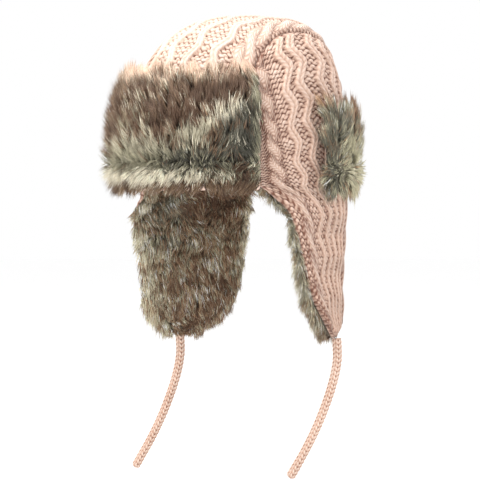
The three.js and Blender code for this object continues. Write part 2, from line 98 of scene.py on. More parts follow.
# One knit stitch of a wale, one purl stitch of the ground between wales, and one stitch of a tie.
STITCH_WIDTH, STITCH_HEIGHT = 0.005, 0.0056
PURL_WIDTH, PURL_HEIGHT = 0.0059, 0.006
TIE_STITCH = 0.0042
# How pale plain knit is painted, from 0 to 1, as painted shade: a panel's inner side, and both sides of a
# flap's backing.
PANEL_INSIDE_SHADING, BACKING_OUTSIDE_SHADING, BACKING_INSIDE_SHADING = 0.45, 0.62, 0.5
# The cells of a knit panel's outer side to one of its inner side.
PANEL_STEP = 4

# A turned-up flap: how far its backing stands off the knit, half the backing's thickness, and the gap to the
# fur on it. At its lower edge it folds and is tucked under the knit. Round the head it has this radius.
SPINE, BACKING, FUR_GAP, FOLD_RADIUS, TUCK = 0.005, 0.0014, 0.00035, 0.0026, 0.005
FLAP_RADIUS = 0.105
# The fabric that the pile stands on, and how far a hair bends sideways.
FUR_FABRIC, HAIR_CURL = 0.0015, 0.0007
# How light a hair's root and the fabric are painted, as a share of its middle, as painted shade deep in
# the pile.
ROOT_SHADE = 0.35
# The middle of each flap is in degrees round from the brow, and so are its reaches to each side of there.
VISOR = {
    "middle": 0,
    "reach": 55,
    "backing_reach": 55,
    "bottom": 0.0,
    "height": 0.098,
    "pile": 0.02,
}
NECK_FLAP = {
    "middle": 180,
    "reach": 88,
    "backing_reach": 86,
    "bottom": -0.004,
    "height": 0.075,
    "pile": 0.0055,
}
# An ear flap's lining: its gap to the knit at the top and at the tip, how far in it stays from the sides, as
# a share of the width, how far it goes up past the brow edge, and its pile. The pile spreads past the sides.
LINING = {"gap": 0.00088, "tip_gap": 0.0012, "inset": 0.02, "top": 0.014, "pile": 0.015}
LINING_SPREAD = {"front": 0.010, "back": 0.003}

TIE_RADIUS, TIE_LEAN = 0.0044, math.radians(40)
# A tie's route from the flap tip: how far out along its lean, and how far down.
TIE_ROUTE = [
    (0, 0),
    (-0.0005, 0.02),
    (0.0035, 0.041),
    (0.011, 0.064),
    (0.02, 0.086),
    (0.03, 0.106),
    (0.0385, 0.121),
    (0.044, 0.131),
]


def smooth(t):
    t = np.clip(t, 0, 1)
    return t * t * (3 - 2 * t)


def mix(a, b, t):
    return a + (b - a) * t


def points(x, y, z):
    return np.stack(np.broadcast_arrays(x, y, z), axis=-1).astype(float)


def unit(vectors):
    return vectors / np.maximum(np.linalg.norm(vectors, axis=-1, keepdims=True), 1e-12)


# A smooth curve from a to b, where t goes from 0 to 1, with a slope at each end.
def curve(a, b, slope_a, slope_b, t):
    return (
        a * (1 + 2 * t) * (1 - t) ** 2
        + slope_a * t * (1 - t) ** 2
        + b * t * t * (3 - 2 * t)
        + slope_b * t * t * (t - 1)
    )


# Reads a table's column at places along its key column, on a smooth curve through the rows.
def table_at(table, key, at, column):
    keys, values = np.array(table[key], float), np.array(table[column], float)
    before = np.maximum(np.arange(len(keys)) - 1, 0)
    after = np.minimum(np.arange(len(keys)) + 1, len(keys) - 1)
    slopes = (values[after] - values[before]) / (keys[after] - keys[before])
    i = np.clip(np.searchsorted(keys, at), 1, len(keys) - 1)
    span = keys[i] - keys[i - 1]
    t = np.clip((at - keys[i - 1]) / span, 0, 1)
    return curve(values[i - 1], values[i], slopes[i - 1] * span, slopes[i] * span, t)


# The dome's side profile by length: share of the radius left, and share of the height.
profile_angle = np.linspace(0, math.pi / 2, 401)
PROFILE_RADIUS = np.maximum(np.cos(profile_angle), 0) ** (2 / DOME_POWER)
PROFILE_HEIGHT = np.sin(profile_angle) ** (2 / DOME_POWER)
profile_step = np.hypot(np.diff(PROFILE_RADIUS) * HALF_LENGTH, np.diff(PROFILE_HEIGHT) * CROWN_HEIGHT)
PROFILE_CLIMB = np.concatenate([[0], np.cumsum(profile_step)])
CLIMB = PROFILE_CLIMB[-1]
STRIP_LENGTH = 2 * CLIMB


def lean_at(height):
    return TOP_LEAN * np.maximum(height, 0) ** LEAN_POWER


# The crown at a turn from the brow and a climb from the brow edge. Below it the wall is upright.
def crown_at(turn, climb):
    radius = np.interp(climb, PROFILE_CLIMB, PROFILE_RADIUS)
    height = np.where(climb > 0, np.interp(climb, PROFILE_CLIMB, PROFILE_HEIGHT), climb / CROWN_HEIGHT)
    return points(
        HALF_WIDTH * radius * np.sin(turn),
        -HALF_LENGTH * radius * np.cos(turn) + lean_at(height),
        CROWN_HEIGHT * height,
    )


def climb_at(z):
    return np.where(z > 0, np.interp(z / CROWN_HEIGHT, PROFILE_HEIGHT, PROFILE_CLIMB), z)


# Points moved off the crown by a distance, square to its surface.
def off_crown(point, distance):
    lean = lean_at(point[..., 2] / CROWN_HEIGHT)
    x, y = point[..., 0] / HALF_WIDTH, (point[..., 1] - lean) / HALF_LENGTH
    z = np.maximum(point[..., 2], 0) / CROWN_HEIGHT
    round_share = np.hypot(x, y) ** (DOME_POWER - 2)
    slope = np.where(z > 0, lean * LEAN_POWER / np.maximum(point[..., 2], 1e-9), 0)
    normal = points(round_share * x / HALF_WIDTH, round_share * y / HALF_LENGTH, 0)
    normal[..., 2] = z ** (DOME_POWER - 1) / CROWN_HEIGHT - normal[..., 1] * slope
    return point + unit(normal) * np.asarray(distance)[..., None]


def turn_and_climb(point):
    height = np.maximum(point[..., 2], 0) / CROWN_HEIGHT
    x = point[..., 0] / HALF_WIDTH
    y = -(point[..., 1] - lean_at(height)) / HALF_LENGTH
    return np.arctan2(x, y), climb_at(point[..., 2])


# A point of the crown strip: x across, along from 0 at the brow to 1 at the nape.
def strip_at(x, along):
    length = along * STRIP_LENGTH
    back = length > CLIMB
    climb = np.where(back, STRIP_LENGTH - length, length)
    side = (x / HALF_WIDTH) ** 2
    radius = np.interp(climb, PROFILE_CLIMB, PROFILE_RADIUS) * np.where(back, 1, -1)
    height = np.interp(climb, PROFILE_CLIMB, PROFILE_HEIGHT)
    low, high = np.zeros_like(radius), np.ones_like(radius)
    for _ in range(40):
        k = (low + high) / 2
        out = (side + (k * radius) ** 2) ** (DOME_POWER / 2) + (k * height) ** DOME_POWER
        low, high = np.where(out < 1, k, low), np.where(out < 1, high, k)
    return points(x, HALF_LENGTH * radius * low + lean_at(height * low), CROWN_HEIGHT * height * low)


def seam_at(along):
    along = np.asarray(along, float)
    return strip_at(table_at(SEAM, "along", along, "half_width") + SEAM_GAP, along)


BROW_TURN = float(turn_and_climb(seam_at(0))[0])
NAPE_TURN = float(turn_and_climb(seam_at(1))[0])
# How far the nape reaches to each side, in degrees.
NAPE_REACH = 180 - math.degrees(NAPE_TURN)


def strip_surface(across, along, distance):
    half = table_at(SEAM, "along", along, "half_width") - SEAM_GAP
    return off_crown(strip_at((2 * across - 1) * half, along), distance)


# The part of a side panel above the brow edge, filled in between its seam and that edge.
def side_crown(across, down):
    top = turn_and_climb(seam_at(mix(ARCH_FRONT, ARCH_BACK, across)))
    front = turn_and_climb(seam_at(mix(ARCH_FRONT, 0, down)))
    back = turn_and_climb(seam_at(mix(ARCH_BACK, 1, down)))
    bottom = (mix(BROW_TURN, NAPE_TURN, across), 0)
    first, last = turn_and_climb(seam_at(ARCH_FRONT)), turn_and_climb(seam_at(ARCH_BACK))

    def blend(k):
        corners = mix(mix(first[k], last[k], across), bottom[k], down)
        return mix(top[k], bottom[k], down) + mix(front[k], back[k], across) - corners

    return crown_at(blend(0), blend(1))


# The part of a side panel below the brow edge.
def ear_flap(across, depth):
    front = points(*(table_at(EAR_FLAP, "depth", depth, c) for c in ("front_x", "front_y")), 0)
    back = points(*(table_at(EAR_FLAP, "depth", depth, c) for c in ("back_x", "back_y")), 0)
    chord = back - front
    outward = unit(points(chord[..., 1], -chord[..., 0], 0))
    bow = 4 * across * (1 - across) * table_at(EAR_FLAP, "depth", depth, "bow")
    free = mix(front, back, across[..., None]) + outward * bow[..., None]
    free[..., 2] = -depth + table_at(EAR_FLAP, "depth", depth, "rise") * (2 * across - 1) ** 2
    turn = mix(turn_and_climb(front)[0], turn_and_climb(back)[0], across)
    wall = crown_at(turn, -depth)
    return mix(wall, free, smooth(depth / FLAP_RELEASE)[..., None])


def ear_flap_facing(across, depth):
    shaded_colour = np.minimum(depth, FLAP_DEPTH - 1e-4)

    def facing_at(at, reach):
        down = ear_flap(at, shaded_colour + 1e-4) - ear_flap(at, shaded_colour)
        over = ear_flap(at + reach, depth) - ear_flap(at - reach, depth)
        return unit(np.cross(down, over))

    middle = facing_at(np.full_like(across, 0.5), 0.5)
    near_tip = smooth((depth - 0.06) / 0.03)[..., None]
    return unit(mix(facing_at(across, 1e-3), middle, near_tip))


# A side panel: across from the front seam to the back one, down from the arch to the flap's tip.
def side_surface(across, down, distance):
    places = (np.asarray(place, float) for place in (across, down, distance))
    across, down, distance = np.broadcast_arrays(*places)
    crown = off_crown(side_crown(across, np.clip(down / SIDE_SPLIT, 0, 1)), distance)
    depth = FLAP_DEPTH * np.maximum(down - SIDE_SPLIT, 0) / (1 - SIDE_SPLIT)
    flap = ear_flap(across, depth) + ear_flap_facing(across, depth) * distance[..., None]
    return np.where((down <= SIDE_SPLIT)[..., None], crown, flap)


# The fabric under a turned-up flap's fur: u across, v up from its bottom edge.
def turn_up_surface(flap):
    def surface(u, v, depth):
        swing = (2 * u - 1) * flap["reach"]
        z = bottom_at(flap, swing) + v * flap["height"]
        turn = np.radians(flap["middle"] + swing)
        return off_crown(crown_at(turn, climb_at(z)), SPINE + BACKING + FUR_GAP + depth)

    return surface


# The neck flap lies a little lower beside the ear flaps than at the nape.
def bottom_at(flap, swing):
    return flap["bottom"] * smooth((np.abs(swing) - NAPE_REACH) / 13)


# The fabric of an ear flap's lining: u from the front edge to the back one, v down to the tip.
def lining_surface(u, v, depth):
    share = (1 - SIDE_SPLIT) / FLAP_DEPTH
    across = mix(LINING["inset"], 1 - LINING["inset"], u)
    down = mix(SIDE_SPLIT - LINING["top"] * share, 1, v)
    distance = -WALL - mix(LINING["gap"], LINING["tip_gap"], smooth((v - 0.65) / 0.2))
    above = crown_at(mix(BROW_TURN, NAPE_TURN, across), (SIDE_SPLIT - down) / share)
    below = side_surface(across, np.maximum(down, SIDE_SPLIT + 1e-9), distance)
    point = np.where((down > SIDE_SPLIT)[..., None], below, off_crown(above, distance))
    flap_down = np.clip(down, SIDE_SPLIT + 0.02, 1)
    front, back = (side_surface(np.full_like(u, edge), flap_down, 0) for edge in (0, 1))
    backwards = unit(back - front)
    inwards = points(-backwards[..., 1], backwards[..., 0], 0)
    hang = smooth((down - SIDE_SPLIT) / 0.05) * np.clip(depth / FUR_FABRIC, 0, 1)
    spread = mix(-LINING_SPREAD["front"], LINING_SPREAD["back"], u) * hang
    return point + inwards * np.asarray(depth)[..., None] + backwards * spread[..., None]


# The wearer's right side is the left one mirrored.
def mirrored(surface):
    return lambda u, v, depth: surface(u, v, depth) * np.array([-1, 1, 1])


# Turns all faces round if they enclose a negative volume.
def facing_out(corners, faces):
    a, b, c = (corners[faces[:, k]] for k in (0, 1, 2))
    volume = np.einsum("ij,ij->i", a, np.cross(b, c)).sum()
    return faces if volume > 0 else faces[:, ::-1]


# Puts triangles and their named values into a new object. A value has a number, or four, for each corner.
def make_piece(name, corners, faces, values, finish):
    mesh = bpy.data.meshes.new(name)
    mesh.vertices.add(len(corners))
    mesh.vertices.foreach_set("co", corners.astype(np.float32).ravel())
    mesh.loops.add(faces.size)
    mesh.loops.foreach_set("vertex_index", faces.astype(np.int32).ravel())
    mesh.polygons.add(len(faces))
    mesh.polygons.foreach_set("loop_start", np.arange(0, faces.size, 3, dtype=np.int32))
    mesh.polygons.foreach_set("use_smooth", np.full(len(faces), True))
    mesh.update(calc_edges=True)
    for key, value in values.items():
        kind = {1: "FLOAT", 3: "FLOAT_VECTOR", 4: "FLOAT_COLOR"}[value.shape[1] if value.ndim > 1 else 1]
        layer = mesh.attributes.new(key, kind, "POINT")
        field = {"FLOAT": "value", "FLOAT_VECTOR": "vector", "FLOAT_COLOR": "color"}[kind]
        layer.data.foreach_set(field, value.astype(np.float32).ravel())
    mesh.materials.append(finish)
    piece = bpy.data.objects.new(name, mesh)
    bpy.context.scene.collection.objects.link(piece)
    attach(piece, "root")
    return piece


# A closed wall: a fine outer grid, a coarser inner one, and a rim that joins them.
# Each grid has a point for each row and column, and the outer one has step cells to one inner cell.
def closed_wall(outer, inner, step):
    rows, columns = outer.shape[:2]
    inner_rows, inner_columns = inner.shape[:2]
    index = np.arange(rows * columns).reshape(rows, columns)
    inside = np.arange(inner_rows * inner_columns).reshape(inner_rows, inner_columns) + rows * columns

    def sheet(grid, turned):
        a, b, c, d = grid[:-1, :-1], grid[:-1, 1:], grid[1:, 1:], grid[1:, :-1]
        faces = np.concatenate([np.stack(t, -1).reshape(-1, 3) for t in ((a, b, c), (a, c, d))])
        return faces[:, ::-1] if turned else faces

    def ring(grid):
        return np.concatenate([grid[0, :-1], grid[:-1, -1], grid[-1, :0:-1], grid[:0:-1, 0]])

    fine, coarse = ring(index), ring(inside)
    k = np.arange(len(coarse))
    faces = [sheet(index, False), sheet(inside, True)]
    for j in range(step):
        nearest = coarse[k] if j < (step + 1) // 2 else coarse[(k + 1) % len(coarse)]
        a, b = fine[(k * step + j) % len(fine)], fine[(k * step + j + 1) % len(fine)]
        faces.append(np.stack([b, a, nearest], -1))
    middle = fine[(k * step + (step + 1) // 2) % len(fine)]
    faces.append(np.stack([middle, coarse[k], coarse[(k + 1) % len(coarse)]], -1))
    corners = np.concatenate([outer.reshape(-1, 3), inner.reshape(-1, 3)])
    faces = np.concatenate(faces)
    return corners, facing_out(corners, faces)


# The values of a closed wall's corners, from a grid of them for its outer side.
def both_sides(grid, step):
    inner = grid[::step, ::step]
    shape = (-1, *grid.shape[2:])
    return np.concatenate([grid.reshape(shape), inner.reshape(shape)])


# A zigzag between -1 and 1 with slightly rounded corners.
def zigzag_wave(t):
    return np.arcsin(0.9 * np.cos(2 * math.pi * t)) / math.asin(0.9)


# Slow unevenness between -1 and 1, as hand-fed yarn has.
def unevenness(s, length, seed):
    wave = np.sin(s * 310 + seed) * np.sin(length * 270 + 2 * seed) + np.sin(s * 170 - length * 230 + seed)
    return wave / 2


# The middle of a wale, as a share of the width, at a share of the panel's length.
def wale_middle(wale, along):
    start, halfway, end = wale["at"]
    upper = mix(start, halfway, smooth(along / SIDE_SPLIT))
    lower = mix(halfway, end, (along - SIDE_SPLIT) / (1 - SIDE_SPLIT))
    return np.where(along < SIDE_SPLIT, upper, lower)


# The two kinds of knit panel: size in metres, cells across and along, how much paler its outer side is
# painted, as painted light on the crown strip that the top light falls on and as painted shade on the side
# panels, and how many times as far the ribs sway where the panel ends.
STRIP_PANEL = {
    "wales": STRIP_WALES,
    "rib_half": 0.031,
    "cable_half": 0.07,
    "width": 0.128,
    "length": STRIP_LENGTH,
    "columns": 32,
    "rows": 106,
    "painted_light_lift": 0.1,
    "end_sway": 1,
}
SIDE_PANEL = {
    "wales": SIDE_WALES,
    "rib_half": 0.026,
    "cable_half": 0.068,
    "width": 0.15,
    "length": 0.312,
    "columns": 37,
    "rows": 76,
    "painted_light_lift": -0.08,
    "end_sway": 2.1,
}


# The strands of a wale along its middle line: each one's own middle and half width, and how far it lies on
# top of the other, from -1 to 1. A rib is one strand that zigzags, and a cable two that cross.
def wale_strands(wale, panel, middle, half, length, fade):
    if wale["kind"] == "rib":
        sway = SWAY * mix(1, panel["end_sway"], smooth((length / panel["length"] - 0.45) / 0.3))
        return [(middle + wale["turn"] * sway * zigzag_wave(length / ZIGZAG) * fade, half, 0 * length)]
    angle = math.pi * length / CROSSING
    swing, over = half * 0.45 * np.cos(angle), np.sin(angle) * wale["turn"]
    return [(middle + swing, half * 0.62, -over), (middle - swing, half * 0.62, over)]


# A strand's form at d, its half widths off the middle: how high it stands, and how pale it is painted, from
# 0 to 1, with painted shade along a rib's middle line and edges and painted light on the cable strand on
# top.
# A rib has two round legs, and a cable's strand is one round cord.
def strand_form(kind, d, over):
    inside = np.clip(1 - d * d, 0, 1)
    if kind == "rib":
        legs = np.sqrt(np.clip(1 - (2 * np.abs(d) - 1) ** 2, 0, 1))
        return np.maximum(0.62 * np.sqrt(inside), legs), mix(0.22, 0.56, legs)
    return inside ** 0.4, (0.52 + 0.16 * over) * mix(-0.1, 1, inside ** 0.5)


# The relief of a knit panel at places across it (a share of its width) and along it (metres).
# Gives the rise, its painted shading from 0 to 1, and its stitches: the purl column and row, how much of a
# wale it is, and the column, row and contrast within the nearest wale. The painted shading is painted light
# on high strands, and painted shade in low places, beside wales and at the panel's sides and ends.
def knit_relief(across, length, panel):
    width, full_length = panel["width"], panel["length"]
    fade = smooth(np.minimum(length, full_length - length) / END_FADE)
    side_fade = smooth(np.minimum(across, 1 - across) * width / SIDE_FADE)
    s = across * width
    uneven = unevenness(s, length, 1.3)
    column = s / PURL_WIDTH + 0.16 * uneven
    row = length / PURL_HEIGHT + 0.2 * unevenness(s, length, 4.1)
    lumps = 0.5 + 0.5 * np.cos(2 * math.pi * column) * np.cos(2 * math.pi * row)
    rise = GROUND_RISE * (lumps ** 0.7 - 0.5 + 0.25 * uneven)
    painted_shading = 0.5 + 0.12 * uneven
    is_wale, nearest = np.zeros_like(s), np.full_like(s, np.inf)
    wale_column, contrast = np.zeros_like(s), np.full_like(s, 0.5)
    for wale in panel["wales"]:
        kind = wale["kind"]
        look = STRANDS[kind]
        middle, half = wale_middle(wale, length / full_length) * width, panel[f"{kind}_half"] * width
        strands = wale_strands(wale, panel, middle, half, length, fade)
        for place, reach, over in strands:
            d = (s - place) / reach
            form, shine = strand_form(kind, d, over)
            top = look["rise"] * (0.72 + 0.28 * over) * form
            wins = (top > rise) & (np.abs(d) < 1)
            rise = np.where(wins, top, rise)
            is_wale = np.where(wins, 1, is_wale)
            painted_shading = np.where(wins, shine, painted_shading)
            closer = wins | (~(is_wale > 0) & (np.abs(d) < nearest))
            wale_column = np.where(closer, d * look["columns"] + 0.5, wale_column)
            contrast = np.where(closer, look["contrast"], contrast)
            nearest = np.where(closer, np.abs(d), nearest)
        line = strands[0][0] if kind == "rib" else middle
        beside = np.abs(s - line) / half
        # Painted shadow on the ground beside each wale.
        shaded = (is_wale == 0) & (beside < 1.5)
        painted_shading = np.where(shaded, painted_shading * mix(0.62, 1, smooth((beside - 1) / 0.5)), painted_shading)
    rise = rise * fade * side_fade - SIDE_SINK * (1 - side_fade) - END_SINK * (1 - fade)
    # Painted shade darkens the panel's sides and ends, where they meet the seams.
    painted_shading = painted_shading * mix(0.45, 1, side_fade) * mix(0.6, 1, fade)
    return rise, painted_shading, points(column, row, is_wale), points(wale_column, length / STITCH_HEIGHT, contrast)


# A knit panel with its wales, stitches and inner wall.
def knit_panel(name, surface, panel, finish):
    columns, rows = panel["columns"] * PANEL_STEP, panel["rows"] * PANEL_STEP
    u, v = np.meshgrid(np.linspace(0, 1, columns + 1), np.linspace(0, 1, rows + 1))
    rise, painted_shading, purl, knit = knit_relief(u, v * panel["length"], panel)
    inner_u, inner_v = u[::PANEL_STEP, ::PANEL_STEP], v[::PANEL_STEP, ::PANEL_STEP]
    inner = surface(inner_u, inner_v, np.full_like(inner_u, -WALL))
    corners, faces = closed_wall(surface(u, v, rise), inner, PANEL_STEP)
    # The outer side's painted shading is moved by the panel's painted light lift, and the inner side is
    # painted in shade.
    values = {
        "painted_shading": np.concatenate([painted_shading.ravel() + panel["painted_light_lift"], np.full(inner_u.size, PANEL_INSIDE_SHADING)]),
        "purl": both_sides(purl, PANEL_STEP),
        "knit": both_sides(knit, PANEL_STEP),
    }
    return make_piece(name, corners, faces, values, finish)


# Where a flap's backing is tucked under the knit edge: all along the visor, and under the nape alone.
def visor_tuck(swing):
    return np.ones_like(swing)


def neck_tuck(swing):
    return smooth((NAPE_REACH - 7 - np.abs(swing)) / 5)


# The knit backing of a turned-up flap. Where tuck is 1 it starts under the knit edge, folds outwards and
# goes up. Where tuck is 0 it has no fold.
def turn_up_backing(name, flap, tuck_at, finish):
    bend = math.pi / 2 * FOLD_RADIUS
    fold_end = TUCK + bend
    step, columns, rows = 2, 60, 24
    u, share = np.meshgrid(np.linspace(0, 1, columns * step + 1), np.linspace(0, 1, rows * step + 1))
    # The rows lie closest together in the fold.
    length = share ** 1.5 * (fold_end + flap["height"])
    swing = (2 * u - 1) * flap["backing_reach"]
    tuck = tuck_at(swing)
    turned = np.clip((length - TUCK) / bend, 0, 1) * math.pi / 2
    out = SPINE - FOLD_RADIUS * (1 - np.sin(turned)) - np.maximum(TUCK - length, 0)
    up = np.maximum(length - fold_end, 0) - FOLD_RADIUS * np.cos(turned)
    straight = FOLD_RADIUS * (length - fold_end) / fold_end
    out, look = mix(SPINE, out, tuck), mix(math.pi / 2, turned, tuck)
    up = np.where(up > 0, up, mix(straight, up, tuck))

    def at(distance):
        z = bottom_at(flap, swing) + up - distance * np.cos(look)
        turn = np.radians(flap["middle"] + swing)
        return off_crown(crown_at(turn, climb_at(z)), out + distance * np.sin(look))

    # Its edges are rounded over two cells.
    edge = np.minimum(np.minimum(u, 1 - u) * columns * step, (1 - share) * rows * step)
    rounded = BACKING * np.sqrt(np.clip(1 - (1 - np.clip(edge / 2, 0, 1)) ** 2, 0.04, 1))
    corners, faces = closed_wall(at(rounded), at(-rounded)[::step, ::step], step)
    column = u * math.radians(2 * flap["reach"]) * FLAP_RADIUS / STITCH_WIDTH
    values = {
        "painted_shading": np.repeat([BACKING_OUTSIDE_SHADING, BACKING_INSIDE_SHADING], [u.size, u[::step, ::step].size]),
        "purl": both_sides(points(0 * u, 0, 1), step),
        "knit": both_sides(points(column, length / STITCH_HEIGHT, 0.7), step),
    }
    return make_piece(name, corners, faces, values, finish)


def dye(code):
    channels = np.array([int(code[k : k + 2], 16) / 255 for k in (1, 3, 5)])
    return np.where(channels <= 0.04045, channels / 12.92, ((channels + 0.055) / 1.055) ** 2.4)


# The yarn of the knit and of the ties, with painted light and shade: where it stands high and is lit, low on
# its flanks in painted shade, and in the gaps in deeper painted shade.
PANEL_YARN = {"high": "#e6d4c9", "low": "#caab99", "gap": "#775244"}
CORD_YARN = {"high": "#e7d4c6", "low": "#d2b19e", "gap": "#8f6350"}

# The dyes of the pile, and how much of each it has where no patch lies, from dark to light.
FUR_DYES = {
    "umber": {"colour": dye("#5d4737"), "plain": 0.34},
    "brown": {"colour": dye("#897058"), "plain": 0.36},
    "slate": {"colour": dye("#57554a"), "plain": 0.08},
    "moss_grey": {"colour": dye("#959079"), "plain": 0.1},
    "grey": {"colour": dye("#b5ae98"), "plain": 0.05},
    "cream": {"colour": dye("#efe6cf"), "plain": 0.07},
    "pink": {"colour": dye("#e0bfa8"), "plain": 0},
}
DYE_COLOURS = np.array([colour["colour"] for colour in FUR_DYES.values()])

# Patches of colour on a fur: a dye laid round a place, its reach across and along from there, for some
# patches how far they lean, and how much of the dye there is.
VISOR_MARKS = [
    {"dye": "pink", "at": (0.5, 1.12), "reach": (0.9, 0.07), "weight": 12},
    {"dye": "brown", "at": (0.5, 1.1), "reach": (0.9, 0.06), "weight": 3},
    {"dye": "cream", "at": (0.5, 1.02), "reach": (0.9, 0.035), "weight": 0.7},
    {"dye": "umber", "at": (0.86, 0.92), "reach": (0.06, 0.14), "weight": 5},
    {"dye": "umber", "at": (0.71, 0.7), "reach": (0.07, 0.14), "tilt": 0.2, "weight": 5},
    {"dye": "umber", "at": (0.35, 0.75), "reach": (0.45, 0.3), "weight": 1.5},
    {"dye": "moss_grey", "at": (0.36, 0.62), "reach": (0.1, 0.06), "tilt": 0.3, "weight": 1.6},
    {"dye": "cream", "at": (0.83, 0.69), "reach": (0.065, 0.07), "tilt": 0.3, "weight": 4.5},
    {"dye": "grey", "at": (0.71, 0.52), "reach": (0.06, 0.06), "weight": 6},
    {"dye": "slate", "at": (0.92, 0.48), "reach": (0.07, 0.2), "weight": 5},
    {"dye": "moss_grey", "at": (1, 0.5), "reach": (0.035, 0.5), "weight": 6},
    {"dye": "grey", "at": (0.42, 0.37), "reach": (0.22, 0.09), "weight": 3},
    {"dye": "moss_grey", "at": (0.4, 0.22), "reach": (0.25, 0.09), "weight": 7},
    {"dye": "slate", "at": (0.68, 0.24), "reach": (0.12, 0.08), "weight": 4},
    {"dye": "cream", "at": (0.4, 0.09), "reach": (0.32, 0.055), "weight": 13},
    {"dye": "brown", "at": (0.5, -0.05), "reach": (0.6, 0.06), "weight": 7},
    {"dye": "umber", "at": (0.5, -0.06), "reach": (0.6, 0.06), "weight": 8},
    {"dye": "umber", "at": (0.9, 0.1), "reach": (0.1, 0.12), "weight": 2.5},
    {"dye": "moss_grey", "at": (0.85, 0.15), "reach": (0.15, 0.1), "weight": 1.5},
]
NECK_MARKS = [
    {"dye": "slate", "at": (0.03, 0.4), "reach": (0.05, 0.5), "weight": 3},
    {"dye": "umber", "at": (0.1, 0.95), "reach": (0.15, 0.25), "weight": 0.8},
    {"dye": "slate", "at": (0.12, 0.85), "reach": (0.12, 0.3), "weight": 1.5},
    {"dye": "moss_grey", "at": (0.13, 0.45), "reach": (0.14, 0.4), "weight": 4},
    {"dye": "grey", "at": (0.16, 0.25), "reach": (0.08, 0.2), "weight": 2.5},
    {"dye": "brown", "at": (0.14, 0.7), "reach": (0.06, 0.3), "weight": 0.8},
    {"dye": "moss_grey", "at": (0.5, 0.1), "reach": (0.3, 0.15), "weight": 2.5},
    {"dye": "slate", "at": (0.62, 0.7), "reach": (0.25, 0.25), "tilt": 0.2, "weight": 1.5},
    {"dye": "slate", "at": (0.75, 0.45), "reach": (0.1, 0.25), "weight": 3},
    {"dye": "grey", "at": (0.4, 0.6), "reach": (0.06, 0.15), "tilt": 0.3, "weight": 3},
    {"dye": "moss_grey", "at": (0.97, 0.4), "reach": (0.06, 0.5), "weight": 2},
]
LINING_MARKS = [
    {"dye": "moss_grey", "at": (0.5, 0.5), "reach": (1, 1), "weight": 0.4},
    {"dye": "grey", "at": (0.04, 0.62), "reach": (0.1, 0.4), "tilt": 0.1, "weight": 1},
    {"dye": "slate", "at": (0.35, 0.22), "reach": (0.2, 0.08), "tilt": 0.3, "weight": 1},
    {"dye": "slate", "at": (0.3, 0.42), "reach": (0.2, 0.05), "weight": 0.9},
    {"dye": "umber", "at": (0.7, 0.2), "reach": (0.25, 0.14), "weight": 2},
    {"dye": "grey", "at": (1.02, 0.38), "reach": (0.08, 0.18), "weight": 4},
    {"dye": "cream", "at": (0, 0.7), "reach": (0.06, 0.4), "weight": 0.5},
    {"dye": "grey", "at": (0.2, 0.85), "reach": (0.15, 0.12), "weight": 0.3},
    {"dye": "umber", "at": (0.6, 0.8), "reach": (0.4, 0.25), "weight": 1.4},
]


# A comb gives how far hairs' tips are moved across and along the surface, in metres, at the hairs' places,
# with a toss from 0 to 1 for each and a slow drift over the fur. A pile gives how far the hairs stand off.

# Hair on the visor points up above the parting and hangs below it. Near the parting it goes either way.
def visor_comb(u, v, toss, drift):
    upward = np.where(toss < smooth((v - 0.14) / 0.16), 1, 0)
    along = mix(-0.0115, 0.0165, upward) * mix(0.6, 1, smooth(np.abs(v - 0.22) / 0.15))
    outward = -0.008 * smooth((0.2 - u) / 0.2) - 0.006 * smooth((u - 0.85) / 0.1)
    wave = 0.003 * np.sin(v * 9 + u * 7) * smooth((0.92 - u) / 0.1)
    return outward + wave + 0.0045 * drift, along


def visor_pile(u, v):
    edge = mix(0.3, 1, smooth((1 - u) / 0.1)) * mix(1.45, 1, smooth((u - 0.08) / 0.12))
    return VISOR["pile"] * edge * mix(0.55, 1, smooth(v / 0.2)) * mix(0.6, 1, smooth((1 - v) / 0.3))


# Hair on the neck flap points down at its lower edge and up above that. It leans towards the nape, and at
# the side edges it fans out over the knit.
def neck_comb(u, v, toss, drift):
    rise = mix(-0.013, 0.0165, smooth((v - 0.05) / 0.45)) + 0.006 * (toss - 0.5)
    side = np.sign(0.5 - u)
    beside = np.minimum(u, 1 - u)
    fan = side * mix(-0.01, 0.006, smooth((beside - 0.02) / 0.06) * smooth((0.45 - beside) / 0.1))
    return fan + 0.006 * drift, rise


def neck_pile(u, v):
    return NECK_FLAP["pile"] * mix(1, 2.6, smooth(np.minimum(v, 1 - v) / 0.3))


# Hair on an ear lining hangs, in swirls on the upper half, and spreads out past the flap's edges.
def lining_comb(u, v, toss, drift):
    swirl = smooth((0.62 - v) / 0.25)
    at_tip = mix(0.003, 0.0135, np.abs(2 * u - 1) ** 1.3)
    fall = mix(0.012 * mix(0.7, 1, smooth((v - 0.1) / 0.4)), at_tip, smooth((v - 0.75) / 0.2))
    return drift * mix(0.0015, 0.011, swirl), fall - 0.004 * swirl * np.sin(u * 19 + v * 31)


def lining_pile(u, v):
    return LINING["pile"] * mix(0.5, 0.9, smooth((1 - v) / 0.2)) * mix(0.5, 1, smooth(v / 0.12))


